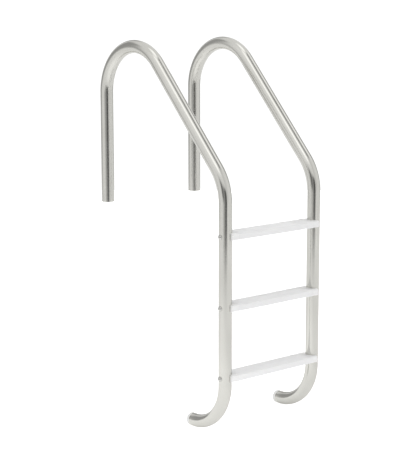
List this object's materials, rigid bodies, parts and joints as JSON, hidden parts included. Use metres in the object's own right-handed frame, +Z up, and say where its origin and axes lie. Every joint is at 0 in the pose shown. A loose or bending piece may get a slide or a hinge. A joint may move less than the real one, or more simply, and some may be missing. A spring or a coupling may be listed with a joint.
{
  "type": "pool ladder",
  "caption": "In-ground pool ladder: two bent steel tube handrails with hooked feet, joined by white plastic treads bolted to the pool legs, with white wall bumpers.",
  "frame": {"origin": "at deck level, midway between the two deck legs", "axes": "+X across the ladder from the left rail to the right rail, +Y from the pool towards the deck, +Z up"},
  "size_m": [0.489, 0.7357, 1.385],
  "materials": {
    "rail_steel": "polished stainless tube",
    "tread_plastic": "satin moulded plastic",
    "saddle_plastic": "satin moulded plastic",
    "bumper_rubber": "satin moulded rubber",
    "fastener_steel": "plain stainless fasteners"
  },
  "bodies": {
    "root": {"left_rail": "rail_steel", "right_rail": "rail_steel", "left_wall_bumper": "bumper_rubber", "right_wall_bumper": "bumper_rubber", "top_tread": "tread_plastic", "middle_tread": "tread_plastic", "bottom_tread": "tread_plastic", "top_left_saddle": "saddle_plastic", "top_right_saddle": "saddle_plastic", "middle_left_saddle": "saddle_plastic", "middle_right_saddle": "saddle_plastic", "bottom_left_saddle": "saddle_plastic", "bottom_right_saddle": "saddle_plastic", "top_tread_bolts": "fastener_steel", "middle_tread_bolts": "fastener_steel", "bottom_tread_bolts": "fastener_steel", "top_saddle_washers": "fastener_steel", "middle_saddle_washers": "fastener_steel", "bottom_saddle_washers": "fastener_steel", "top_flat_washers": "fastener_steel", "middle_flat_washers": "fastener_steel", "bottom_flat_washers": "fastener_steel", "top_tread_nuts": "fastener_steel", "middle_tread_nuts": "fastener_steel", "bottom_tread_nuts": "fastener_steel"}
  },
  "joints": []
}
